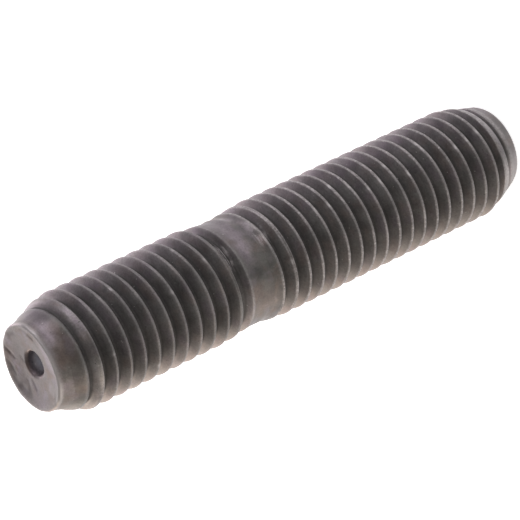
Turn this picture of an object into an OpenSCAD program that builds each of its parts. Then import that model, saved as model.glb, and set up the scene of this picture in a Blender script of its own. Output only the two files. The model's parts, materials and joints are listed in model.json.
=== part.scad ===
// Double-ended threaded stud, stood on the face of its nut end.
// The axis is +Z and the origin is the middle of the lower face.
// Both threaded ends are drawn to the diameter over their crests.

/* [Stud] */
// Length from end face to end face
overall_length = 70; // [68:0.5:120]
// Length of the metal end, with its point and run-out
metal_end_length = 26.8; // [22:0.1:30]
// Length of the nut end, with its point and run-out
nut_end_length = 38.9; // [30:0.1:40]

/* [Thread] */
// Diameter over the thread crests
crest_diameter = 13.85; // [13.68:0.01:13.96]
// Distance from one crest to the next
thread_pitch = 2; // [1.5:0.25:2]

/* [Waist] */
// Diameter of the plain waist, which is the rolling blank
waist_diameter = 12.85; // [12.4:0.05:13.2]
// Height that the waist swells between the two run-outs
waist_swell = 0.05; // [0.02:0.01:0.1]
// Width of the groove that the last turn leaves beside each run-out
washout_width = 1; // [0.6:0.1:1.2]
// Depth of that groove below the waist
washout_depth = 0.07; // [0.03:0.01:0.15]

/* [Points] */
// Diameter of the metal end's face, over its lip
metal_face_diameter = 9.8; // [9:0.1:11]
// Diameter of the nut end's face
nut_face_diameter = 10.4; // [9:0.1:11]
// Slope of the pointed ends, measured from the axis
point_angle = 20; // [15:1:45]
// Edge break where the nut end meets its face
edge_break = 0.25; // [0.1:0.05:0.4]
// Radius of the lip that is rolled over the rim of the metal end
lip_radius = 0.3; // [0.2:0.05:0.4]
// Depth of the dished face of the metal end, at its middle
dish_depth = 0.4; // [0.2:0.05:0.6]

/* [Centre hole] */
// Diameter of the centre hole in the metal end
hole_diameter = 3.4; // [2.5:0.1:4]
// Depth of its straight wall below the end plane
hole_depth = 1.5; // [0.8:0.1:6]
// Full angle of its drilled bottom
drill_angle = 118; // [60:1:140]
// Bevel that softens its mouth
mouth_bevel = 0.25; // [0.1:0.05:0.4]
// Distance of its centre from the axis
hole_offset = 0.5; // [0:0.05:0.8]
// Direction of that offset, anticlockwise from +X
hole_direction = 300; // [0:5:355]

/* [Hidden] */
$fn = 96;
overlap = 0.01;

crest_r = crest_diameter / 2;
waist_r = waist_diameter / 2;
metal_face_r = metal_face_diameter / 2;
nut_face_r = nut_face_diameter / 2;
hole_r = hole_diameter / 2;

// The crests sink to the waist over one pitch.
runout_length = thread_pitch;
waist_length = overall_length - metal_end_length - nut_end_length;

// The circle through both ends of the swell, by its rise and half its length
swell_half = waist_length / 2 - washout_width;
swell_r = (swell_half * swell_half + waist_swell * waist_swell) / (2 * waist_swell);
washout_half = washout_width / 2;
washout_r = (washout_half * washout_half + washout_depth * washout_depth)
    / (2 * washout_depth);

// The cone that hollows the face starts inside the top of the lip.
dish_r = metal_face_r - 2 * lip_radius;
dish_slope = dish_depth / dish_r;
mouth_z = overall_length - dish_depth + dish_slope * hole_r;
drill_tip = hole_r / tan(drill_angle / 2);

// Section of a threaded end, with its face at y = 0 and its run-out at the top
module end_section(length, face_r) {
    point_length = (crest_r - face_r) / tan(point_angle);
    polygon([
        [0, 0],
        [face_r - edge_break, 0],
        [face_r + edge_break * tan(point_angle), edge_break],
        [crest_r, point_length],
        [crest_r, length - runout_length],
        [waist_r, length],
        [0, length]
    ]);
}

// Longer threaded end, which takes the nut
module nut_end() {
    rotate_extrude() end_section(nut_end_length, nut_face_r);
}

// Section of the plain waist: two shallow washout grooves and the swell
module waist_section() {
    difference() {
        translate([0, -overlap])
            square([waist_r, waist_length + 2 * overlap]);
        for (y = [washout_half, waist_length - washout_half])
            translate([waist_r + washout_r - washout_depth, y])
                circle(r = washout_r);
    }
    intersection() {
        translate([0, washout_width])
            square([waist_r + waist_swell, 2 * swell_half]);
        translate([waist_r + waist_swell - swell_r, waist_length / 2])
            circle(r = swell_r);
    }
}

// Plain waist between the two threaded ends
module waist() {
    translate([0, 0, nut_end_length])
        rotate_extrude() waist_section();
}

// Section of the metal end, which ends in the lip instead of a sharp edge
module metal_end_section() {
    lip_x = metal_face_r - lip_radius;
    difference() {
        end_section(metal_end_length, metal_face_r);
        square([crest_r, lip_radius]);
    }
    square([lip_x, 2 * lip_radius]);
    translate([lip_x, lip_radius]) circle(r = lip_radius);
}

// Shorter threaded end, upside down on top of the waist, with its lip uppermost
module metal_end() {
    translate([0, 0, overall_length])
        mirror([0, 0, 1])
            rotate_extrude() metal_end_section();
}

// Shallow cone that dishes the face inside the lip
module face_dish() {
    translate([0, 0, overall_length - dish_depth])
        cylinder(h = dish_depth + overlap, r1 = 0, r2 = dish_r + overlap / dish_slope);
}

// Drilled centre hole with a bevelled mouth, standing a little off the axis
module centre_hole() {
    rotate([0, 0, hole_direction])
        translate([hole_offset, 0, 0]) {
            translate([0, 0, overall_length - hole_depth])
                cylinder(h = hole_depth + overlap, r = hole_r);
            translate([0, 0, overall_length - hole_depth - drill_tip])
                cylinder(h = drill_tip, r1 = 0, r2 = hole_r);
            translate([0, 0, mouth_z - mouth_bevel])
                cylinder(h = 2 * mouth_bevel, r1 = hole_r, r2 = hole_r + 2 * mouth_bevel);
        }
}

// The whole stud, one bar turned and rolled to shape
module stud() {
    color("#46414a")
        difference() {
            union() {
                nut_end();
                waist();
                metal_end();
            }
            face_dish();
            centre_hole();
        }
}

stud();
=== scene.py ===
# Threaded stud: one blackened steel bar with a rolled thread at each end.
# Lengths are in millimetres until the mesh is written, and then in metres. Heights are
# above the face that the stud stands on. A turn is counted anticlockwise from the front,
# which is -Y, and runs from -0.5 to 0.5.
import json
import math

import bmesh
import bpy
import numpy as np
from mathutils import Matrix, Vector, noise


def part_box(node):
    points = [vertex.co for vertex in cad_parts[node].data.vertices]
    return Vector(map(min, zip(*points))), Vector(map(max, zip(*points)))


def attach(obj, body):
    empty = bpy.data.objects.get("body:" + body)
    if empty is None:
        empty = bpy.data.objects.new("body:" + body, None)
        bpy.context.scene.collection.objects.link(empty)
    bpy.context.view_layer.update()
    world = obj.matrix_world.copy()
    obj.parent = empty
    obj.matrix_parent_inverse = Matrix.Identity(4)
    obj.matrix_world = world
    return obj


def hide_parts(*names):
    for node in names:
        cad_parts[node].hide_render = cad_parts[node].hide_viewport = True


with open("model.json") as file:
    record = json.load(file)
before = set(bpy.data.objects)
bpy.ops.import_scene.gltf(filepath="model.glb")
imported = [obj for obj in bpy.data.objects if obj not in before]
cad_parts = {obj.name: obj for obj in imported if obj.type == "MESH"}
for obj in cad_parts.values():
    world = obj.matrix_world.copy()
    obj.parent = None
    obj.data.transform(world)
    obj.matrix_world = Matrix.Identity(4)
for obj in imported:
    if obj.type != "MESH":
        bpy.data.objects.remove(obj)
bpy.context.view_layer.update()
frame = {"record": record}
mm = 0.001

low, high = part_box("stud")
mounts = {mount["name"]: mount for mount in frame["record"]["mounts"]}
studLength = (high.z - low.z) / mm
crestRadius = mounts["metal_end_thread"]["dims"]["r_mm"]


# The bar before its threads are rolled
barForm = {
    "columns": 164,  # vertices round the bar
    "outline": (  # height, and depth below the crests
        (0.0, 1.62), (4.7, 0.0),  # point of the nut end
        (36.7, 0.0), (37.7, 0.17), (38.7, 0.16), (39.7, 0.39), (40.05, 0.525),  # its run-out
        (41.95, 0.525), (46.0, 0.0),  # waist, and the metal end's run-out
        (65.0, 0.0), (67.7, 1.06), (68.5, 1.44), (68.9, 1.57), (69.6, 1.66),  # point and rim
    ),
    "rounding": 0.2,  # over which its corners are rounded
    "rimWave": 0.14,  # how far the foot of the rim wanders along the axis
    "rimWaveLength": 1.7,
    "rimWaveRing": (5.3, 68.0),  # radius and height at which its noise is read
    "rimWaveFrom": (67.4, 68.2),  # where the wandering starts and is full
    "nutFaceShift": 0.2,  # how far the nut end's face stands off the axis, towards +X
    "nutFaceShiftReach": 3.0,  # height at which that has faded
}

# The waist bulges above a low slanting step, and is a little hollow below it.
waistForm = {
    "bulge": 0.05,
    "bulgeHeight": 41.0,
    "bulgeReach": 0.75,
    "sideBulge": 0.06,  # more of it on the side where the step runs out
    "sideTurn": 0.25,
    "sideWidth": 0.16,  # in turns
    "stepAtFront": 41.15,
    "stepFall": 1.3,  # in one turn
    "stepWidth": 0.11,
    "stepFade": 1.2,  # how much wider it gets on the left
    "stepFadeTurns": (0.06, -0.02),  # where that starts and is full
    "hollow": 0.11,
    "hollowEdge": 0.3,  # height over which it starts above the nut end's last crest
    "hollowTurns": (-0.02, 0.04, 0.2, 0.3),  # where it starts, is full, fades and ends
    "hollowLilac": 0.1,  # how lilac it is, and how much darker it is painted, as painted shade under the step
    "hollowPaintedShade": 0.1,
}


def smooth(value, start, end):
    # 0 up to the start, 1 from the end on, and a soft rise between them
    share = np.clip((value - start) / (end - start), 0, 1)
    return share * share * (3 - 2 * share)


def noiseAt(points, size, seed):
    # Smooth noise of about -1 to 1, in lumps of the given size
    shift = Vector((17.3 * seed, -9.1 * seed, 5.7 * seed))
    flat = points.reshape(-1, 3) / size
    values = [noise.noise(Vector(point) + shift) for point in flat]
    return np.array(values).reshape(points.shape[:-1])


# The columns of vertices round the bar; the first and the last are in the same place.
turns = np.linspace(-0.5, 0.5, barForm["columns"] + 1)
angles = 2 * math.pi * turns - math.pi / 2


def turnsFrom(turn):
    # How far round each column is from a turn, the short way
    return np.mod(turns - turn + 0.5, 1) - 0.5


def ringAt(radius, height):
    # A ring of points round the axis
    radius = radius + 0 * angles
    return np.stack([radius * np.cos(angles), radius * np.sin(angles), height + 0 * angles], axis=-1)


def axisDistance(points):
    # How far each point is from the axis
    return np.hypot(points[..., 0], points[..., 1])


rimWave = barForm["rimWave"] * noiseAt(ringAt(*barForm["rimWaveRing"]), barForm["rimWaveLength"], 4)


def hollowShare(height):
    # 1 in the hollow below the step, and 0 elsewhere
    step = waistForm["stepAtFront"] - waistForm["stepFall"] * turns
    width = waistForm["stepWidth"] + waistForm["stepFade"] * smooth(turns, *waistForm["stepFadeTurns"])
    lastCrest = nutThread["crestHeight"] + pitch * (1 + turns)
    below = 1 - smooth(height, step - width, step + width)
    above = smooth(height, lastCrest, lastCrest + waistForm["hollowEdge"])
    starts, full, fades, ends = waistForm["hollowTurns"]
    return below * above * smooth(turns, starts, full) * (1 - smooth(turns, fades, ends))


def waistShape(height):
    side = np.exp(-(turnsFrom(waistForm["sideTurn"]) / waistForm["sideWidth"]) ** 2)
    fromMiddle = (height - waistForm["bulgeHeight"]) / waistForm["bulgeReach"]
    bulge = (waistForm["bulge"] + waistForm["sideBulge"] * side) * np.exp(-fromMiddle ** 2)
    return bulge - waistForm["hollow"] * hollowShare(height)


def barRadius(height):
    # The mean over a short length rounds the corners off.
    heights, depths = zip(*barForm["outline"])
    waved = height + rimWave * smooth(height, *barForm["rimWaveFrom"])
    steps = np.linspace(-barForm["rounding"], barForm["rounding"], 5)
    depth = sum(np.interp(waved + step, heights, depths) for step in steps) / len(steps)
    shiftShare = 1 - smooth(height, 0, barForm["nutFaceShiftReach"])
    shift = barForm["nutFaceShift"] * np.sin(2 * math.pi * turns) * shiftShare
    return crestRadius - depth + waistShape(height) + shift


# The rolled threads. A metric thread has flanks 60 degrees apart, a narrow land on each
# crest and a rounded root.
threadForm = {
    "pitch": 2.0,
    "depth": 0.6134,  # in pitches, as is the next
    "rootRadius": 0.1443,
    "flankAngle": 30.0,  # degrees from square to the axis
    "leastReach": 0.03,  # half the width of a groove that has run out
    "mostReach": 0.98,  # and of the widest groove
    "firstReach": 0.8,  # a groove's edge is found from here, in so many steps
    "reachSteps": 12,
    "cutReach": (0.06, 0.3),  # half the width from which a groove counts, and counts fully
    "runOutLoss": 1.6,  # how much less deep a groove is where it is gone
    "edgeWander": 0.04,  # how far the grooves' edges wander
    "wanderTurns": 0.03,  # length of that wandering, in turns
    "wanderReach": 0.4,  # half the width of the narrowest groove whose edges wander
    "crestRough": 0.016,  # how rough the rubbed crests are
    "roughTurns": 0.012,
    "frontPaintedShade": 0.5,  # painted shade: share of the crests' rubbed colour taken away near the front
    "frontTurn": -0.015,
    "frontWidth": 0.045,
    "pointZone": (3.2, 3.8),  # distance from an end at which its point stops
    "shallowZone": (3.5, 6.0),  # the same for the less deep grooves there
    "rubbedReach": ((0.15, 0.25), (0.4, 0.5)),  # where rubbing fades past an edge, and more on a point
    "leastDepth": 0.1,  # of a groove, where its depth is worked out as a share
    "ringFade": 0.2,  # the wear fades over this length beside a plain ring
    "splitHeight": 41.9,  # plain ring in the waist, where the rows of the two threads meet
    "metalRing": 68.95,  # plain rings on the points, where the rows end
    "nutRing": 0.35,
}
pitch = threadForm["pitch"]

# Turns along a thread are counted from the crest whose height at the front is given.
metalThread = {
    "crestHeight": 45.50,
    "rubbed": 0.32,  # how far its crests are rubbed
    "rubbedFlank": 0.2,  # how far down the flanks that fades
    "pointWear": 0.15,  # share of it on the end's point
    "rounding": 0.17,  # how far its crests' edges blend
    "pointRounding": 2.0,  # how much further on the point
    "shallower": 0.07,  # how much less deep its grooves are
    "pointShallower": 0.13,  # how much more so at the point
    "waistSide": -1,  # the side of a groove that faces the waist
    "wideRoot": 0.27,  # how much wider the last groove is on that side
    "widening": (0.1, -0.2),  # turns over which it gets so
    "full": -0.8,  # turns at which the last groove gets shallow and is gone
    "gone": -1.25,
    "seam": (-0.75, 0.75),  # where the crests did not fill and have an open seam
    "nicks": (  # number of the crest, turn and size
        (1, 0.06, 0.5), (2, 0.13, 0.4), (4, 0.02, 0.5), (6, -0.16, 0.6), (7, 0.1, 0.5), (9, -0.06, 0.4),
    ),
}
nutThread = {
    "crestHeight": 37.15,
    "rubbed": 0.85,
    "rubbedFlank": 0.08,
    "pointWear": 1.0,
    "rounding": 0.13,
    "pointRounding": 0.0,
    "shallower": 0.05,
    "pointShallower": 0.0,
    "waistSide": 1,
    "wideRoot": 0.0,
    "widening": (-0.1, 0.2),
    "full": 0.8,
    "gone": 1.25,
    "seam": (-0.8, 0.85),
    "nicks": (
        (0, -0.045, 0.7), (-1, 0.14, 0.4), (-3, 0.055, 0.6), (-4, 0.05, 0.9), (-5, 0.1, 1.0),
        (-6, 0.075, 0.8), (-7, 0.045, 0.8), (-8, 0.05, 0.9), (-9, 0.085, 0.8), (-10, 0.035, 1.0),
        (-10, -0.095, 0.6), (-12, 0.105, 1.0), (-12, 0.085, 0.8), (-14, 0.045, 1.0),
        (-14, -0.13, 0.6), (-15, 0.05, 0.9), (-16, 0.06, 1.0),
    ),
}
seamForm = {
    "depth": 0.1,
    "turns": 0.045,  # over which it opens and closes
    "open": (-0.35, 0.25),  # noise from which it starts to open, and is open
    "ends": 0.1,  # turns over which it fades out at its ends
    "nickDepth": 0.04,
    "nickTurns": 0.005,  # its width, times its size and the next
    "nickLeast": 0.6,
}

# Where the rounding of the root meets the flank, from the groove's middle and its root
slant = math.radians(threadForm["flankAngle"])
rootRadius = threadForm["rootRadius"] * pitch
tangentOffset = rootRadius * math.cos(slant)
tangentRise = rootRadius * (1 - math.sin(slant))


def grooveFloor(offset, root, flat):
    # Radius of the groove's surface at a distance along the axis from its middle
    offset = np.maximum(np.abs(offset) - flat, 0)
    inside = np.minimum(offset, tangentOffset)
    arc = root + rootRadius - np.sqrt(rootRadius ** 2 - inside ** 2)
    return arc + np.maximum(offset - tangentOffset, 0) / math.tan(slant)


def grooveReach(radius, root):
    # Distance from the groove's middle to where its surface has the given radius
    sagitta = np.clip(rootRadius - (radius - root), 0, rootRadius)
    arc = np.sqrt(np.maximum(rootRadius ** 2 - sagitta ** 2, 0))
    tangentRadius = root + tangentRise
    flank = tangentOffset + (radius - tangentRadius) * math.tan(slant)
    return np.maximum(np.where(radius > tangentRadius, flank, arc), threadForm["leastReach"])


def grooveEdge(middle, side, root, flat):
    # Where the groove breaks out of the bar, on one side of its middle
    reach = np.full_like(middle, threadForm["firstReach"])
    for _ in range(threadForm["reachSteps"]):
        reach = flat + grooveReach(barRadius(middle + side * reach), root)
    return np.minimum(reach, threadForm["mostReach"])


def pointShare(height, zone):
    # 1 on the two points, and 0 between them
    return 1 - smooth(np.minimum(height, studLength - height), *zone)


def edgeRounding(thread, point):
    # How far the crests' edges blend
    return thread["rounding"] * (1 + thread["pointRounding"] * point)


def alongNoise(along, length, seed):
    # Noise that follows the thread, in turns along it
    still = np.zeros_like(along)
    return noiseAt(np.stack([along / length, still, still], axis=-1), 1.0, seed)


def crestDamage(thread, crest, onLand):
    # Depth of the open seam and of the nicks, and how bare the steel is there
    start, end = thread["seam"]
    ends = seamForm["ends"]
    unfilled = smooth(crest, start - ends, start) * (1 - smooth(crest, end, end + ends))
    opened = smooth(alongNoise(crest, seamForm["turns"], 11), *seamForm["open"])
    seam = seamForm["depth"] * unfilled * opened * (onLand == 1)
    bare = np.zeros_like(crest)
    for number, turn, size in thread["nicks"]:
        distance = (crest - number - turn) / (seamForm["nickTurns"] * (seamForm["nickLeast"] + size))
        bare = np.maximum(bare, size * np.exp(-distance ** 2))
    return seam + seamForm["nickDepth"] * bare * onLand, bare * onLand


def grooveAt(thread, block, seed):
    # The groove between two crests: turns along the thread, height of its middle, radius
    # of its root, and its edge, flat part and cut on each side
    along = block + 0.5 + turns
    middle = thread["crestHeight"] + pitch * along
    lost = thread["shallower"] + thread["pointShallower"] * pointShare(middle, threadForm["shallowZone"])
    lost = lost + threadForm["runOutLoss"] * smooth(along, thread["full"], thread["gone"])
    root = crestRadius - threadForm["depth"] * pitch + lost
    groove = {"along": along, "middle": middle, "root": root}
    for side in (-1, 1):
        flat = thread["wideRoot"] * smooth(along, *thread["widening"]) * (side == thread["waistSide"])
        reach = grooveEdge(middle, side, root, flat)
        wander = alongNoise(along + side / 2, threadForm["wanderTurns"], seed + side)
        shift = np.where(reach > threadForm["wanderReach"], threadForm["edgeWander"] * wander, 0)
        edge = np.minimum(reach + shift, threadForm["mostReach"])
        groove[side] = {"edge": edge, "flat": flat, "cut": smooth(reach - flat, *threadForm["cutReach"])}
    return groove


def halfGroove(thread, groove, side):
    # The rows on one side of a groove: distance from its middle, and share of the land
    edge, flat = groove[side]["edge"], groove[side]["flat"]
    point = pointShare(groove["middle"], threadForm["pointZone"])
    widest = (0.3 + 0.1 * point) * (edge - flat)
    rim = np.minimum(0.5 * edgeRounding(thread, point), widest)
    tangent = flat + np.minimum(tangentOffset, 0.55 * (edge - flat))
    land = pitch / 2 - edge
    return [
        (0.0, 0.0),  # root
        (0.8 * tangent, 0.0),
        (tangent + 0.55 * (edge - rim - tangent), 0.0),  # flank
        (edge - rim, 0.2),  # rounded edge
        (edge - 0.3 * rim, 0.5),
        (edge + np.minimum(0.5 * rim, 0.35 * land), 0.8),
        (edge + 0.62 * land, 0.9),  # land
        (edge + 0.88 * land, 1.0),
        (edge + land, 1.0),  # crest
    ]


def threadRows(thread, lowEnd, highEnd, seed):
    # Rows of points that follow the thread from one plain ring to another. From one
    # crest to the next there are 16: crest, land, edge, flank and root, and back up.
    first = math.floor((lowEnd - thread["crestHeight"]) / pitch) - 1
    last = math.ceil((highEnd - thread["crestHeight"]) / pitch) + 1
    grooves = {block: grooveAt(thread, block, seed) for block in range(first - 1, last + 2)}
    rows = []
    fade = threadForm["ringFade"]
    for block in range(first, last + 1):
        groove = grooves[block]
        for side in (-1, 1):
            beyond = grooves[block + side][-side]  # the facing side of the next groove
            lines = []
            for offset, onLand in halfGroove(thread, groove, side):
                height = np.clip(groove["middle"] + side * offset, lowEnd, highEnd)
                clear = smooth(height, lowEnd, lowEnd + fade) * (1 - smooth(height, highEnd - fade, highEnd))
                lines.append(shapeRow(thread, groove, side, beyond, height, onLand, clear))
            rows += lines[::-1] if side < 0 else lines[1:-1]
    return rows


def rubbing(thread, height, pastEdge, toNext, own, beyond, inGroove):
    # How rubbed the thread is, with painted shade at the front where the crests keep less of it, and how near
    # the row is to the grooves on its two sides
    point = pointShare(height, threadForm["pointZone"])
    start, end = (reach + more * point * thread["pointWear"] for reach, more in threadForm["rubbedReach"])
    ownSide = own["cut"] * (1 - smooth(pastEdge, start, end))
    near = np.maximum(ownSide, beyond["cut"] * (1 - smooth(toNext, start, end)))
    rubbed = np.where(inGroove, own["cut"] * smooth(pastEdge, -thread["rubbedFlank"], 0), near)
    # Painted shade: near the front the crests keep less of their rubbed colour
    fromFront = (turns - threadForm["frontTurn"]) / threadForm["frontWidth"]
    dimmed = 1 - threadForm["frontPaintedShade"] * np.exp(-fromFront ** 2)
    return thread["rubbed"] * rubbed * (1 - (1 - thread["pointWear"]) * point) * dimmed, near


def shapeRow(thread, groove, side, beyond, height, onLand, clear):
    # One row's points, and its shares of wear, plain skin, groove depth and bare steel
    own = groove[side]
    crest = groove["along"] + side / 2
    offset = height - thread["crestHeight"] - pitch * groove["along"]
    bar = barRadius(height)
    floor = grooveFloor(offset, groove["root"], own["flat"])
    inGroove = floor < bar
    rounding = edgeRounding(thread, pointShare(height, threadForm["pointZone"]))
    blend = np.clip(1 - np.abs(bar - floor) / rounding, 0, 1) ** 2 * rounding / 4
    dent, bare = crestDamage(thread, crest, onLand)
    rough = threadForm["crestRough"] * thread["rubbed"] * alongNoise(crest, threadForm["roughTurns"], 6)
    radius = np.minimum(bar, floor) - clear * (blend + dent + rough * onLand)
    toNext = pitch - np.abs(offset) - beyond["edge"]
    rubbed, near = rubbing(thread, height, np.abs(offset) - own["edge"], toNext, own, beyond, inGroove)
    skin = 1 - clear * np.where(inGroove, own["cut"], near)
    depth = np.clip((bar - floor) / np.maximum(bar - groove["root"], threadForm["leastDepth"]), 0, 1)
    shares = np.stack([clear * rubbed, skin, clear * own["cut"] * depth, clear * bare], axis=-1)
    return np.stack([radius * np.cos(angles), radius * np.sin(angles), height], axis=-1), shares


print("forms ready, rolling the threads")
metalRows = threadRows(metalThread, threadForm["splitHeight"], threadForm["metalRing"], 3)
nutRows = threadRows(nutThread, threadForm["nutRing"], threadForm["splitHeight"], 8)


# The metal end's rim and the lip that is rolled over it
rimForm = {
    "radius": 5.27,
    "foot": 69.45,  # height at which the face's finish starts
    "footWave": 1.5,  # how much more that wanders than the rim's shape
    "footEdge": 0.1,
    # Where the rim is rounded back into a shoulder: turn, width in turns, and how far
    "shoulders": ((0.065, 0.075, 0.5), (-0.04, 0.09, 0.34), (0.4, 0.08, 0.1)),
    "rows": (0.3, 0.6, 0.82),  # share of the way from the last plain ring to the lip
    "gap": 0.05,  # between that way's end and the lip
    "curve": 1.5,  # how late the rim leaves the bar's outline
    "lipRadius": 0.32,
    "lipWave": 0.1,
    "lipWaveLength": 1.3,
    "lipWaveRing": (5.3, 70.0),
    "lipRows": (5, 22, 40, 58, 74, 90),  # degrees round the lip
    "wear": 0.42,
    "wearReach": (-0.7, 0.1),  # from the top of the lip
    "paintedShine": (0.0, 0.1, 0.25, 0.5, 0.72, 0.85, 0.8, 0.5, 0.2),  # painted shine, in bare-steel colour, on the rows of the rim and lip, lighting the front that faces the dim room
    "paintedShineTurns": (0.1, 0.28),  # from the front, where it starts to fade and is gone
}

# The metal end's face is dished, and tilts a little towards the back.
faceForm = {
    "dishDepth": 0.28,
    "dishFloor": 1.8,  # radius of its flat middle
    "lipStep": 0.06,  # further down inside the lip
    "lipStepWidth": 0.75,
    "tilt": 0.018,
    "tiltFrom": -4.6,  # the front of the face stays level up to here
    "rings": 22,
    "nutRadius": 5.3,  # of the nut end's face, which is plain
    "nutEdgeBreak": 0.14,
}

# The drilled hole in it stands off the axis and has a soft mouth.
holeForm = {
    "radius": 1.65,
    "offset": 0.5,
    "direction": 300.0,  # degrees anticlockwise from +X
    "section": (  # radius in hole radii, and depth
        (1.12, 0.0), (1.03, 0.05), (0.96, 0.14), (0.9, 0.29), (0.86, 0.5), (0.84, 0.75), (0.8, 0.95),
        (0.72, 1.06), (0.56, 1.2), (0.38, 1.37), (0.2, 1.55), (0.05, 1.7)),
    "softFront": 0.1,  # how much further out the mouth starts at the front
    "softShare": (0.8, 1.0),  # radius in hole radii from which the wall follows the mouth
    "dark": 0.6,  # how dark the wall is
    "darkDepths": (0.45, 0.8, 1.42, 1.62),  # where that starts, is full, fades and ends
    "holeLightBottom": (68.42, 68.62, 0.4),  # the painted light in the hole fades by this share above the bottom
    "holeLightWall": (68.7, 69.6, 0.6),  # and by the rest up the wall
    "holeShadeAcross": (-1.3, 0.2),  # it is only half as strong on the left of these, where the wall's painted shade falls
    "holeLightRadius": 2.4,
    "reach": 3.0,  # radius inside which a point may be in the hole
}

# Dents in the same face: both ends, width, depth, and how dark they are stained
faceDents = (
    ((3.54, 3.34), (2.64, 2.94), 0.24, 0.06, 0.72),
    ((2.64, 2.94), (1.84, 2.59), 0.18, 0.04, 0.55),
    ((1.54, 1.37), (1.0, 1.2), 0.24, 0.03, 0.55),
    ((4.4, 0.2), (4.5, 1.3), 0.28, 0.04, 0.42),
    ((2.75, -2.9), (3.45, -2.5), 0.19, 0.05, 0.64),
    ((1.7, -3.3), (2.8, -2.9), 0.2, 0.02, 0.12),
    ((3.85, -2.3), (4.35, -1.6), 0.18, 0.04, 0.32),
    ((2.02, 4.18), (1.38, 3.75), 0.2, 0.03, 0.45),
    ((1.2, 3.8), (0.1, 3.85), 0.2, 0.03, 0.7),
    ((-0.1, 4.3), (-1.7, 3.4), 0.34, 0.02, 0.3),
    ((-2.6, 2.5), (-1.5, 3.6), 0.5, 0.04, 0.22),
    ((-1.1, 2.2), (-2.2, 2.5), 0.22, 0.03, 0.3),
    ((-1.25, 1.3), (-2.5, 1.3), 0.19, 0.04, 0.44),
    ((-4.3, -1.9), (-3.8, -2.6), 0.2, 0.05, 0.12),
)


def dentsAt(x, y):
    # Depth and stain
    depth, stain = 0 * x, 0 * x
    for (x0, y0), (x1, y1), width, deep, dark in faceDents:
        runX, runY = x1 - x0, y1 - y0
        share = np.clip(((x - x0) * runX + (y - y0) * runY) / (runX ** 2 + runY ** 2), 0, 1)
        away = np.hypot(x - x0 - share * runX, y - y0 - share * runY) / width
        depth = depth + deep * np.exp(-away ** 2)
        stain = np.maximum(stain, dark * np.exp(-away ** 2))
    return depth, stain


def faceHeight(x, y):
    radius = np.hypot(x, y)
    lipTop = rimForm["radius"] - rimForm["lipRadius"]
    dish = faceForm["dishDepth"] * (1 - smooth(radius, faceForm["dishFloor"], lipTop))
    step = faceForm["lipStep"] * (1 - smooth(radius, lipTop - faceForm["lipStepWidth"], lipTop))
    tilt = np.maximum(faceForm["tilt"] * (y - faceForm["tiltFrom"]), 0)
    return studLength - dish - step - tilt - dentsAt(x, y)[0]


def rimRings(rim):
    # From the last plain ring up the rim and over the lip
    rings = []
    lip = rimForm["lipRadius"]
    start = threadForm["metalRing"]
    for share in rimForm["rows"]:
        height = start + share * (studLength - lip - rimForm["gap"] - start)
        outside = barRadius(height + 0 * turns) - rim
        rings.append(ringAt(rim + outside * (1 - share ** rimForm["curve"]), height))
    for degrees in rimForm["lipRows"]:
        turned = math.radians(degrees)
        ring = ringAt(rim - lip + lip * math.cos(turned), 0)
        ring[:, 2] = faceHeight(ring[:, 0], ring[:, 1]) - lip + lip * math.sin(turned)
        rings.append(ring)
    return rings


def metalFaceRings():
    # The rim, the face and the hole
    wave = noiseAt(ringAt(*rimForm["lipWaveRing"]), rimForm["lipWaveLength"], 5)
    rim = rimForm["radius"] + rimForm["lipWave"] * wave
    for turn, width, depth in rimForm["shoulders"]:
        rim = rim - depth * np.exp(-(turnsFrom(turn) / width) ** 2)
    rings = rimRings(rim)
    direction = math.radians(holeForm["direction"])
    centre = holeForm["offset"] * np.array([math.cos(direction), math.sin(direction)])
    (mouth, _), *inside = holeForm["section"]
    stretch = 1 + holeForm["softFront"] * np.cos(2 * math.pi * turns)
    lipTop = rim - rimForm["lipRadius"]
    for share in np.linspace(0, 1, faceForm["rings"] + 1)[1:]:
        ring = ringAt((1 - share) * lipTop + share * mouth * holeForm["radius"] * stretch, 0)
        ring[:, :2] += share * centre
        ring[:, 2] = faceHeight(ring[:, 0], ring[:, 1])
        rings.append(ring)
    mouthHeight = rings[-1][:, 2]
    for radius, depth in inside:
        upper = smooth(np.array(radius), *holeForm["softShare"])
        ring = ringAt(radius * holeForm["radius"] * (1 + upper * (stretch - 1)), 0)
        ring[:, :2] += centre
        ring[:, 2] = mouthHeight.mean() + upper * (mouthHeight - mouthHeight.mean()) - depth
        rings.append(ring)
    return rings


def metalFaceShares(rings):
    # Wear, plain skin and depth on those rings, and in the bare-steel share the painted shine on the front of
    # the rim and lip
    shares = []
    front = 1 - smooth(np.abs(turns), *rimForm["paintedShineTurns"])
    starts, full, fades, ends = holeForm["darkDepths"]
    for number, ring in enumerate(rings):
        below = studLength - ring[:, 2]
        deep = smooth(below, starts, full) * (1 - smooth(below, fades, ends))
        deep = deep * (axisDistance(ring) < holeForm["reach"])
        paintedShine = rimForm["paintedShine"][number] if number < len(rimForm["paintedShine"]) else 0.0
        shares.append(np.stack([0 * deep, 1 + 0 * deep, holeForm["dark"] * deep, paintedShine * front], axis=-1))
    return shares


def nutFaceRings():
    edge = faceForm["nutEdgeBreak"]
    outer = faceForm["nutRadius"]
    form = [(0.15, 0), (1.4, 0), (2.7, 0), (4.0, 0), (outer - edge, 0), (outer - 0.35 * edge, 0.25 * edge)]
    shift = barForm["nutFaceShift"] * np.sin(2 * math.pi * turns)
    return [ringAt(radius + shift * radius / outer, height) for radius, height in form]
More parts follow.
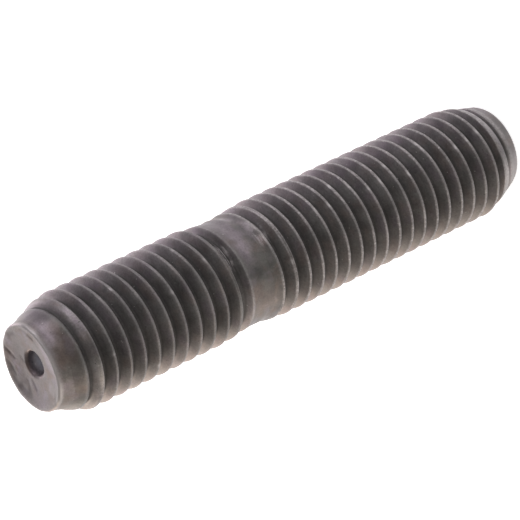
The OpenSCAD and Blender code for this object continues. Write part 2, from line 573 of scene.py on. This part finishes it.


# Soft patches of the skin: height, turn, length, width in turns, and how lilac, how much paler (or darker,
# below 0), how scuffed and how brown they are. Some are the skin's own tone and scuffs, and some are painted
# light and shade, as noted beside them.
skinPatches = (
    # the waist, and the crests beside it
    (42.1, 0.11, 1.1, 0.11, {"lilac": 1.0}),
    (41.9, 0.08, 0.9, 0.055, {"pale": 0.42}),
    (42.6, 0.036, 0.6, 0.024, {"lilac": 0.2, "pale": -0.22}),
    (39.75, 0.1, 0.35, 0.035, {"lilac": 0.3, "pale": 0.45}),
    (39.8, -0.155, 0.4, 0.04, {"pale": 0.35}),
    (44.4, -0.09, 0.5, 0.05, {"pale": 0.35}),
    (40.55, 0.18, 0.3, 0.035, {"lilac": 0.2, "pale": 0.5, "scuff": 0.5}),
    (39.5, 0.045, 0.35, 0.02, {"lilac": 0.3, "pale": 0.5, "scuff": 1.6}),
    (41.0, -0.02, 2.2, 0.035, {"pale": -0.15}),
    (42.1, -0.032, 1.0, 0.018, {"pale": -0.3}),
    (40.0, -0.03, 0.7, 0.014, {"pale": -0.15}),
    # painted warm light on the left side of the waist
    (41.2, -0.14, 2.2, 0.06, {"pale": 0.38, "brown": 0.5}),
    (40.9, -0.078, 1.2, 0.016, {"pale": 0.22}),
    (43.6, -0.14, 0.5, 0.06, {"lilac": 0.3, "pale": 0.4}),
    (44.5, 0.06, 0.45, 0.055, {"pale": 0.3, "scuff": 1.8}),
    (38.35, 0.07, 0.35, 0.05, {"lilac": 0.2, "pale": 0.2, "scuff": 0.9}),
    # the metal end's point and its rim
    # painted highlight on the right of the point
    (68.9, 0.098, 1.0, 0.045, {"lilac": 0.75, "pale": 0.28}),
    (67.9, 0.17, 1.2, 0.05, {"lilac": 0.5, "pale": -0.3}),
    (68.4, -0.015, 1.4, 0.03, {"pale": -0.12, "brown": 0.8}),
    (68.1, -0.09, 2.0, 0.048, {"lilac": 0.1, "pale": 0.42, "brown": 0.15}),
    # painted light on the point just above the front
    (68.8, 0.05, 1.0, 0.026, {"lilac": 0.3, "pale": 0.36, "brown": 0.2}),
    (68.75, -0.115, 0.35, 0.035, {"pale": -0.3}),
    # painted light on the front of the rim, which faces the dim room
    (69.4, 0.01, 0.5, 0.08, {"lilac": 0.3, "pale": 0.46, "brown": 0.1}),
    # the first crests behind that point
    # painted light on the left of the first crests
    (65.6, -0.12, 0.6, 0.06, {"pale": 0.6, "brown": 0.2}),
    (65.7, 0.03, 0.5, 0.035, {"lilac": 0.2, "pale": 0.34}),
    # these two: painted highlights on the right of the first crests
    (65.8, 0.085, 0.5, 0.035, {"lilac": 0.6, "pale": 0.35}),
    (63.5, 0.085, 0.4, 0.03, {"lilac": 0.5, "pale": 0.3}),
    # the whole length, to the right and left of the front: painted tints of the lamps' light, lilac on the
    # right and brown on the left
    (35.0, 0.17, 60.0, 0.06, {"lilac": 0.5}),
    (35.0, -0.13, 60.0, 0.045, {"brown": 0.35}),
    # the nut end's point
    # these two: painted light on the point, which the floor shades, and more of it on its left
    (0.7, 0.06, 1.1, 0.16, {"lilac": 0.35, "pale": 0.3}),
    (0.9, -0.115, 1.3, 0.08, {"lilac": 0.7, "pale": 0.9, "scuff": 0.5}),
    (2.9, 0.08, 0.5, 0.12, {"lilac": 0.7, "pale": 0.25, "scuff": 0.4}),
    (2.9, -0.1, 0.5, 0.06, {"lilac": 0.4, "pale": 0.5, "brown": 0.2}),
)
# The same on the face: x, y, half width and half height
facePatches = (
    (-1.1, 3.6, 0.45, 1.0, {"lilac": 0.4, "pale": -0.3, "brown": 0.8}),
    (-2.2, 3.0, 0.7, 0.7, {"pale": -0.2}),
    (1.0, 4.3, 0.7, 0.45, {"pale": -0.25, "brown": 0.2}),
    (3.9, 2.0, 0.7, 0.6, {"lilac": 1.0, "pale": 0.05}),
    (4.3, 0.8, 0.35, 0.8, {"lilac": 0.3, "pale": -0.15, "brown": 0.6}),
    (-4.1, 0.6, 0.8, 1.3, {"lilac": 0.6, "brown": 0.4}),
    (0.0, -4.1, 2.2, 0.5, {"pale": 0.15, "brown": 0.1}),
    (1.6, 3.0, 0.8, 0.7, {"lilac": 0.3, "pale": 0.08, "brown": 0.2}),
    (-2.1, 1.3, 0.9, 0.5, {"lilac": 1.0, "pale": -0.08}),
    (3.15, -2.7, 0.6, 0.3, {"pale": -0.1, "brown": 0.8}),
    (-3.2, -2.0, 1.2, 0.8, {"pale": 0.12}),
    (-3.6, 2.4, 0.7, 0.7, {"lilac": 0.6, "pale": -0.06, "brown": 0.3}),
    (1.2, 1.25, 0.5, 0.4, {"lilac": 0.2, "pale": -0.1, "brown": 0.9}),
    (0.8, 2.9, 0.8, 0.5, {"pale": 0.1}),
    (0.0, -3.9, 2.6, 0.6, {"pale": 0.1, "brown": 0.2}),
    (0.1, 2.2, 1.2, 0.7, {"lilac": 0.1, "pale": -0.08, "brown": 0.3}),
)
tints = ("lilac", "pale", "scuff", "brown")
patchForm = {
    "wander": 0.5,  # how far noise moves the patches' edges
    "wanderSize": 0.9,
    "edge": 1.6,  # how steeply the patches end
    "faceFrom": (69.3, 69.6),  # height at which the face's patches take over
}
# Painted light on the nut end's point: a patch of bare-steel colour on its left, which the floor shades
pointPaintedLight = {"height": 0.6, "turn": -0.115, "length": 1.3, "width": 0.085, "bare": 0.5}


def patchShares(points):
    # How lilac, pale, scuffed and brown the skin is
    height = points[..., 2]
    onFace = smooth(height, *patchForm["faceFrom"])
    wander = patchForm["wander"] * noiseAt(points, patchForm["wanderSize"], 21)
    turn = turns + wander / (2 * math.pi * crestRadius)
    spots = [(height + wander - patch[0], turn - patch[1], 1 - onFace, patch) for patch in skinPatches]
    x, y = points[..., 0] + wander, points[..., 1] - wander
    spots += [(x - patch[0], y - patch[1], onFace, patch) for patch in facePatches]
    shares = {tint: np.zeros(height.shape) for tint in tints}
    for one, other, place, (_, _, length, width, amounts) in spots:
        near = place * np.exp(-((one / length) ** 2 + (other / width) ** 2) ** patchForm["edge"])
        for tint, amount in amounts.items():
            shares[tint] += near * amount
    hollow = hollowShare(height)
    shares["lilac"] += waistForm["hollowLilac"] * hollow
    # Painted shade: the hollow under the step is painted darker
    shares["pale"] -= waistForm["hollowPaintedShade"] * hollow
    return {tint: np.clip(share, -1, 1) for tint, share in shares.items()}


def inMetalEnd(points, radius):
    # Whether each point is in the metal end and this near to the axis
    return (axisDistance(points) < radius) * (points[..., 2] > threadForm["splitHeight"])


def faceShareAt(points):
    # 1 on the metal end's face, on its rim and in its hole, and 0 on the bar
    foot = rimForm["foot"] - rimForm["footWave"] * rimWave
    onFace = smooth(points[..., 2], foot - rimForm["footEdge"], foot + rimForm["footEdge"])
    return np.maximum(onFace, inMetalEnd(points, holeForm["reach"]))


def rimWearAt(points, faceShare):
    # How rubbed the rim and the lip are
    lipTop = rimForm["radius"] - rimForm["lipRadius"] + 0.5 * rimWave
    start, end = rimForm["wearReach"]
    return rimForm["wear"] * faceShare * smooth(axisDistance(points), lipTop + start, lipTop + end)


def pointPaintedLightAt(points):
    # How much painted light, in bare-steel colour, the nut end's point has
    alongPoint = (points[..., 2] - pointPaintedLight["height"]) / pointPaintedLight["length"]
    roundPoint = (turns - pointPaintedLight["turn"]) / pointPaintedLight["width"]
    return pointPaintedLight["bare"] * np.exp(-alongPoint ** 2 - roundPoint ** 2)


def drilledAt(points):
    # How much painted light the hole shows: a pale blue-grey for the light on its floor, fading up the wall,
    # and half as strong on the left, as painted shade of the wall
    share = np.ones(points.shape[:-1])
    for start, end, loss in (holeForm["holeLightBottom"], holeForm["holeLightWall"]):
        share = share - loss * smooth(points[..., 2], start, end)
    share = share * (0.5 + 0.5 * smooth(points[..., 0], *holeForm["holeShadeAcross"]))
    return share * inMetalEnd(points, holeForm["holeLightRadius"])


# One closed skin
skinForm = {
    "lumps": 0.014,  # height of the noise on the plain skin
    "threadLumps": 0.006,
    "lumpSize": 1.2,
    "pits": 0.006,
    "threadPits": 0.4,  # share of them on the thread
    "pitSize": 0.3,
    "calmRadius": 2.0,  # the points nearer the axis move less
    "settle": 0.017,  # how much lower the roughened skin lies, so that no lump stands proud
    "weldGap": 5e-8,  # in metres
}


def roughened(points, skin):
    # Moves the points a little to and from the axis
    height = skinForm["threadLumps"] + (skinForm["lumps"] - skinForm["threadLumps"]) * skin
    lumps = height * noiseAt(points, skinForm["lumpSize"], 1)
    pits = skinForm["pits"] * noiseAt(points, skinForm["pitSize"], 2)
    pits = pits * (skinForm["threadPits"] + (1 - skinForm["threadPits"]) * skin)
    scale = 1 + (lumps + pits - skinForm["settle"]) / np.maximum(axisDistance(points), skinForm["calmRadius"])
    moved = points.copy()
    moved[..., :2] *= scale[..., None]
    return moved


def closedTube(points, name):
    # The rows joined into quads, with a point at each end
    rowCount, columns = points.shape[:2]
    start = np.arange(columns - 1)
    bases = (np.arange(rowCount - 1)[:, None] * columns + start).reshape(-1, 1)
    quads = bases + np.array([0, 1, columns + 1, columns])
    tips = rowCount * columns
    lastRow = (rowCount - 1) * columns
    fans = [(int(column) + 1, int(column), tips) for column in start]
    fans += [(lastRow + int(column), lastRow + int(column) + 1, tips + 1) for column in start]
    ends = [points[0].mean(axis=0), points[-1].mean(axis=0)]
    vertices = np.concatenate([points.reshape(-1, 3), ends]) * mm
    mesh = bpy.data.meshes.new(name)
    mesh.from_pydata(vertices.tolist(), [], quads.tolist() + fans)
    return mesh


def keepShare(mesh, name, values):
    # Kept on the mesh's points, where the material reads it
    data = mesh.attributes.new(name, "FLOAT", "POINT")
    flat = np.concatenate([values.ravel(), [values.flat[0], values.flat[-1]]])
    data.data.foreach_set("value", flat.astype(np.float32))


def weld(mesh):
    # Welds the seam, and the rows that the plain rings cut off
    shape = bmesh.new()
    shape.from_mesh(mesh)
    bmesh.ops.remove_doubles(shape, verts=shape.verts, dist=skinForm["weldGap"])
    openEdges = sum(not edge.is_manifold for edge in shape.edges)
    volume = shape.calc_volume() / mm ** 3
    shape.to_mesh(mesh)
    shape.free()
    print("stud:", len(mesh.polygons), "faces,", openEdges, "open edges,", round(volume), "cubic mm")


def makeStud():
    nutFace = nutFaceRings()
    metalFace = metalFaceRings()
    threaded = nutRows + metalRows
    plain = [np.tile([0.0, 1.0, 0.0, 0.0], (len(turns), 1)) for _ in nutFace]
    points = np.array(nutFace + [row for row, _ in threaded] + metalFace)
    shares = np.array(plain + [share for _, share in threaded] + metalFaceShares(metalFace))
    wear, skin, depth, bare = np.moveaxis(shares, -1, 0)
    face = faceShareAt(points)
    mesh = closedTube(roughened(points, skin), "threaded_stud")
    kept = {
        "wear": np.maximum(wear, rimWearAt(points, face)),
        "skin": skin,
        "depth": depth,
        # The bare share holds the real nicks, and also painted light: the rim's shine and the patch on the
        # nut end's point
        "bare": np.maximum(bare, pointPaintedLightAt(points)),
        "face": face,
        "stain": dentsAt(points[..., 0], points[..., 1])[1] * face,
        "drilled": drilledAt(points),
    }
    for name, values in (kept | patchShares(points)).items():
        keepShare(mesh, name, values)
    weld(mesh)
    mesh.shade_smooth()
    stud = bpy.data.objects.new("threaded_stud", mesh)
    bpy.context.scene.collection.objects.link(stud)
    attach(stud, "root")
    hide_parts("stud")
    return stud


stud = makeStud()


# Black oxide on rolled steel
steelForm = {
    # root: the oxide left in the grooves' roots, painted darker still as painted shade where little light
    # reaches; also the colour of the dark specks
    "root": (0.067, 0.065, 0.063, 1),
    "flank": (0.132, 0.132, 0.127, 1),
    "flankBrown": (0.145, 0.130, 0.122, 1),
    "flankLilac": (0.141, 0.123, 0.137, 1),
    "lilac": (0.162, 0.142, 0.156, 1),
    "grey": (0.108, 0.107, 0.097, 1),
    "brown": (0.128, 0.104, 0.090, 1),
    "worn": (0.30, 0.287, 0.283, 1),
    "face": (0.160, 0.140, 0.138, 1),
    "faceBrown": (0.132, 0.096, 0.084, 1),
    "faceBlue": (0.174, 0.150, 0.167, 1),
    # painted light in the hole: the pale blue-grey of light on its floor
    "drilled": (0.30, 0.31, 0.36, 1),
    "stain": (0.035, 0.026, 0.024, 1),
    # bare steel; also the colour of the painted light on the rim, the lip and the nut end's point
    "bare": (0.54, 0.53, 0.52, 1),
    "metallic": 0.35,
    "lilacNoise": 0.6,  # how lilac noise alone makes the skin and the flanks
    "bumpHeight": 0.012,
    "grainBump": 0.7,
    "streakBump": 0.5,
}
# Size in millimetres, one number or one for each axis, detail, roughness and place
steelNoise = {
    "mottle": (3.2, 4.0, 0.6, 0.0),
    "brown": (2.4, 3.0, 0.55, 7.0),
    "lilac": (2.4, 3.0, 0.55, 19.0),
    "grain": (0.22, 3.0, 0.6, 3.0),
    "streak": ((1.6, 1.6, 0.13), 3.0, 0.6, 5.0),
    "speck": (0.34, 1.0, 0.5, 11.0),
}
# The two values between which an effect changes, and what it changes from and to
steelRamps = {
    "browner": (0.42, 0.64, 0.0, 1.0),
    "moreLilac": (0.5, 0.68, 0.0, 1.0),
    "rootOxideAndShade": (0.45, 0.95, 0.0, 1.0),
    "rubbedGrain": (0.35, 0.65, 0.65, 1.0),
    "scratches": (0.46, 0.6, 0.0, 0.9),
    "toneAndPaintedLight": (-1.0, 1.0, 0.0, 2.0),
    "mottleTone": (0.3, 0.7, 0.72, 1.28),
    "grainTone": (0.25, 0.75, 0.86, 1.14),
    "glintWear": (0.5, 0.95, 0.0, 1.0),
    "glints": (0.56, 0.66, 0.0, 0.6),
    "strayGlints": (0.76, 0.82, 0.0, 0.5),
    "darkSpecks": (0.2, 0.3, 0.7, 0.0),
    "satin": (0.3, 0.7, 0.36, 0.48),
    "rootRoughness": (0.5, 0.95, 0.0, 0.75),
}


class NodeDesk:
    # Adds nodes to a material or a world; a value is a number, a colour or a node's output
    def __init__(self, owner):
        owner.use_nodes = True
        self.nodes = owner.node_tree.nodes
        self.links = owner.node_tree.links

    def add(self, kind, **settings):
        node = self.nodes.new("ShaderNode" + kind)
        for name, value in settings.items():
            setattr(node, name, value)
        return node

    def join(self, value, socket):
        if isinstance(value, bpy.types.NodeSocket):
            self.links.new(value, socket)
        else:
            socket.default_value = value

    def share(self, name):
        return self.add("Attribute", attribute_name=name).outputs["Fac"]

    def reckon(self, operation, first, second):
        node = self.add("Math", operation=operation)
        self.join(first, node.inputs[0])
        self.join(second, node.inputs[1])
        return node.outputs[0]

    def times(self, first, second):
        return self.reckon("MULTIPLY", first, second)

    def plus(self, first, second):
        return self.reckon("ADD", first, second)

    def most(self, first, second):
        return self.reckon("MAXIMUM", first, second)

    def ramp(self, value, low, high, bottom, top, kind="SMOOTHSTEP"):
        node = self.add("MapRange", interpolation_type=kind)
        self.join(value, node.inputs["Value"])
        node.inputs["From Min"].default_value = low
        node.inputs["From Max"].default_value = high
        node.inputs["To Min"].default_value = bottom
        node.inputs["To Max"].default_value = top
        return node.outputs["Result"]

    def mix(self, factor, first, second):
        node = self.add("Mix", data_type="FLOAT")
        self.join(factor, node.inputs["Factor"])
        self.join(first, node.inputs["A"])
        self.join(second, node.inputs["B"])
        return node.outputs["Result"]

    def blend(self, factor, first, second, kind="MIX"):
        # The same for colours, whose sockets are 6, 7 and 2
        node = self.add("Mix", data_type="RGBA", blend_type=kind)
        self.join(factor, node.inputs["Factor"])
        self.join(first, node.inputs[6])
        self.join(second, node.inputs[7])
        return node.outputs[2]

    def towards(self, way, direction):
        # From -1 to 1, how far the way points in that direction
        node = self.add("VectorMath", operation="DOT_PRODUCT")
        self.join(way, node.inputs[0])
        self.join(direction, node.inputs[1])
        return node.outputs["Value"]

    def noise(self, size, detail, roughness, place):
        mapping = self.add("Mapping")
        sizes = size if isinstance(size, tuple) else (size, size, size)
        mapping.inputs["Scale"].default_value = [1 / (one * mm) for one in sizes]
        mapping.inputs["Location"].default_value = (place, 2 * place, -place)
        self.join(self.add("TexCoord").outputs["Object"], mapping.inputs["Vector"])
        node = self.add("TexNoise")
        node.inputs["Scale"].default_value = 1.0
        node.inputs["Detail"].default_value = detail
        node.inputs["Roughness"].default_value = roughness
        self.join(mapping.outputs["Vector"], node.inputs["Vector"])
        return node.outputs["Fac"]


def effect(desk, value, name):
    # One of the effects in steelRamps, at the given value
    return desk.ramp(value, *steelRamps[name])


def steelColour(desk, noises):
    # Skin, flanks and roots of the thread, face, and the painted light in the hole
    browner = desk.most(effect(desk, noises["brown"], "browner"), desk.share("brown"))
    moreLilac = effect(desk, noises["lilac"], "moreLilac")
    lilac = desk.plus(desk.share("lilac"), desk.times(moreLilac, steelForm["lilacNoise"]))
    skin = desk.blend(browner, steelForm["grey"], steelForm["brown"])
    skin = desk.blend(lilac, skin, steelForm["lilac"])
    coat = desk.blend(browner, steelForm["flank"], steelForm["flankBrown"])
    coat = desk.blend(lilac, coat, steelForm["flankLilac"])
    # Deeper in a groove the coat goes to the root colour: partly the oxide left there, partly painted shade
    coat = desk.blend(effect(desk, desk.share("depth"), "rootOxideAndShade"), coat, steelForm["root"])
    colour = desk.blend(desk.share("skin"), coat, skin)
    face = desk.blend(browner, steelForm["face"], steelForm["faceBrown"])
    face = desk.blend(desk.most(moreLilac, desk.share("lilac")), face, steelForm["faceBlue"])
    colour = desk.blend(desk.share("face"), colour, face)
    return desk.blend(desk.share("drilled"), colour, steelForm["drilled"])


def wornColour(desk, noises, colour):
    # Rubbed and scratched places, tones with painted light and shade, stains, dark specks, and bare steel
    # with glints and painted light, in that order
    rubbed = desk.times(desk.share("wear"), effect(desk, noises["grain"], "rubbedGrain"))
    scratches = desk.times(desk.share("scuff"), effect(desk, noises["streak"], "scratches"))
    colour = desk.blend(desk.most(rubbed, scratches), colour, steelForm["worn"])
    mottled = effect(desk, noises["mottle"], "mottleTone")
    tone = desk.times(mottled, effect(desk, noises["grain"], "grainTone"))
    # The pale share lightens or darkens the colour: the skin's own tone, and painted light and shade from the
    # patches
    tone = desk.times(tone, effect(desk, desk.share("pale"), "toneAndPaintedLight"))
    grey = desk.add("CombineColor")
    for channel in range(3):
        desk.join(tone, grey.inputs[channel])
    colour = desk.blend(1.0, colour, grey.outputs[0], "MULTIPLY")
    colour = desk.blend(desk.share("stain"), colour, steelForm["stain"])
    colour = desk.blend(effect(desk, noises["speck"], "darkSpecks"), colour, steelForm["root"])
    onWorn = effect(desk, desk.share("wear"), "glintWear")
    glints = desk.times(onWorn, effect(desk, noises["speck"], "glints"))
    glints = desk.most(glints, effect(desk, noises["speck"], "strayGlints"))
    return desk.blend(desk.most(desk.share("bare"), glints), colour, steelForm["bare"])


def blackenedSteel():
    material = bpy.data.materials.new("blackenedSteel")
    desk = NodeDesk(material)
    shader = desk.nodes["Principled BSDF"]
    noises = {name: desk.noise(*form) for name, form in steelNoise.items()}
    colour = wornColour(desk, noises, steelColour(desk, noises))
    desk.join(colour, shader.inputs["Base Color"])
    satin = effect(desk, noises["mottle"], "satin")
    rough = desk.most(satin, effect(desk, desk.share("depth"), "rootRoughness"))
    desk.join(rough, shader.inputs["Roughness"])
    shader.inputs["Metallic"].default_value = steelForm["metallic"]
    grain = desk.times(noises["grain"], steelForm["grainBump"])
    streaks = desk.times(noises["streak"], steelForm["streakBump"])
    bump = desk.add("Bump")
    bump.inputs["Strength"].default_value = 1.0
    bump.inputs["Distance"].default_value = steelForm["bumpHeight"] * mm
    desk.join(desk.plus(grain, streaks), bump.inputs["Height"])
    desk.join(bump.outputs["Normal"], shader.inputs["Normal"])
    return material


stud.data.materials.append(blackenedSteel())
print("steel painted")


# The camera looks down at the front of the stud, and is rolled so that the stud lies
# across the view.
cameraForm = {
    "aimHeight": 36.66,
    "aimSide": -0.125,
    "distance": 376.8,
    "elevation": 33.8,  # degrees, as is the roll
    "roll": -115.56,
    "lens": 227.8,
    "sensor": 36,
}


def makeCamera():
    up = math.radians(cameraForm["elevation"])
    roll = math.radians(cameraForm["roll"])
    back = Vector((0, -math.cos(up), math.sin(up)))
    across = Vector((1, 0, 0))
    rise = back.cross(across)
    right = math.cos(roll) * across + math.sin(roll) * rise
    top = back.cross(right)
    data = bpy.data.cameras.new("camera")
    data.lens = cameraForm["lens"]
    data.sensor_width = cameraForm["sensor"]
    camera = bpy.data.objects.new("camera", data)
    aim = Vector((cameraForm["aimSide"], 0, cameraForm["aimHeight"]))
    place = aim + back * cameraForm["distance"]
    turned = Matrix((right, top, back)).transposed().to_4x4()
    camera.matrix_world = Matrix.Translation(place * mm) @ turned
    bpy.context.scene.collection.objects.link(camera)
    bpy.context.scene.camera = camera


makeCamera()
print("camera ready")


# The backdrop is white behind the stud and at its sides. The room in front of it is
# dimmer, for light and reflections alike.
studioForm = {
    "floorHalf": 1.5,  # metres
    "floorColour": (0.8, 0.8, 0.8, 1),
    "floorGlow": 0.8,  # added where the floor is seen or reflected
    "fill": 0.5,  # strength of the backdrop's light on the object
    "white": 1.0,  # its strength where it is seen or reflected
    "backdropWay": (0.0, 0.83, -0.56),
    "room": 0.5,  # share of the backdrop's strength that the room has
    "roomEdge": (-0.35, 0.45),
    "leftTint": (1.0, 0.93, 0.87, 1),
    "rightTint": (1.0, 0.94, 0.99, 1),
}


def seenRays(desk):
    # 1 for rays from the camera, reflections and glass, and 0 for light
    path = desk.add("LightPath")
    seen = path.outputs["Is Camera Ray"]
    for name in ("Is Glossy Ray", "Is Transmission Ray"):
        seen = desk.most(seen, path.outputs[name])
    return seen


def makeFloor():
    half = studioForm["floorHalf"]
    mesh = bpy.data.meshes.new("floor")
    corners = [(-half, -half, 0), (half, -half, 0), (half, half, 0), (-half, half, 0)]
    mesh.from_pydata(corners, [], [(0, 1, 2, 3)])
    floor = bpy.data.objects.new("floor", mesh)
    bpy.context.scene.collection.objects.link(floor)
    pale = bpy.data.materials.new("paleFloor")
    desk = NodeDesk(pale)
    desk.nodes.clear()
    output = desk.add("OutputMaterial")
    diffuse = desk.add("BsdfDiffuse")
    diffuse.inputs["Color"].default_value = studioForm["floorColour"]
    glow = desk.add("Emission")
    desk.join(desk.times(seenRays(desk), studioForm["floorGlow"]), glow.inputs["Strength"])
    both = desk.add("AddShader")
    desk.join(diffuse.outputs[0], both.inputs[0])
    desk.join(glow.outputs[0], both.inputs[1])
    desk.join(both.outputs[0], output.inputs["Surface"])
    mesh.materials.append(pale)


def makeWorld():
    # The camera itself sees the backdrop plain white.
    world = bpy.data.worlds.new("studio")
    bpy.context.scene.world = world
    desk = NodeDesk(world)
    back = desk.nodes["Background"]
    way = desk.add("TexCoord").outputs["Generated"]
    toCamera = desk.add("LightPath").outputs["Is Camera Ray"]
    behind = desk.towards(way, studioForm["backdropWay"])
    room = desk.ramp(behind, *studioForm["roomEdge"], studioForm["room"], 1.0)
    strength = desk.mix(seenRays(desk), studioForm["fill"], studioForm["white"])
    desk.join(desk.times(desk.mix(toCamera, room, 1.0), strength), back.inputs["Strength"])
    sideways = desk.ramp(desk.towards(way, (1, 0, 0)), -1.0, 1.0, 0.0, 1.0, "LINEAR")
    walls = desk.blend(sideways, studioForm["leftTint"], studioForm["rightTint"])
    desk.join(desk.blend(toCamera, walls, (1, 1, 1, 1)), back.inputs["Color"])


# Each softbox: place and size in metres, power in watts, and colour
softboxes = {
    "lowLeftLight": ((-0.24, -0.03, 0.015), (0.3, 0.025), 0.08, (1.0, 0.86, 0.76)),
    "lowRightLight": ((0.24, -0.03, 0.015), (0.3, 0.025), 0.04, (1.0, 0.90, 0.98)),
    "leftWindow": ((-0.243, -0.035, 0.075), (0.09, 0.09), 0.07, (1.0, 0.86, 0.76)),
    "rightWindow": ((0.229, -0.099, 0.108), (0.07, 0.07), 0.13, (1.0, 0.93, 1.0)),
    "leftSoftbox": ((-0.2, 0.28, 0.06), (0.2, 0.25), 0.6, (1.0, 0.80, 0.68)),
    "rightSoftbox": ((0.2, 0.26, 0.08), (0.2, 0.22), 0.5, (1.0, 0.86, 0.95)),
    "backSoftbox": ((0.0, 0.3, 0.2), (0.3, 0.2), 0.3, (1.0, 0.98, 0.97)),
}


def makeSoftboxes():
    middle = Vector((0, 0, studLength * mm / 2))
    for name, (place, size, power, colour) in softboxes.items():
        data = bpy.data.lights.new(name, "AREA")
        data.shape = "RECTANGLE"
        data.size, data.size_y = size
        data.energy = power
        data.color = colour
        lamp = bpy.data.objects.new(name, data)
        lamp.location = place
        lamp.rotation_mode = "QUATERNION"
        lamp.rotation_quaternion = (middle - lamp.location).to_track_quat("-Z", "Y")
        bpy.context.scene.collection.objects.link(lamp)


makeFloor()
makeWorld()
makeSoftboxes()
bpy.context.scene.view_settings.view_transform = "Standard"
print("studio ready")
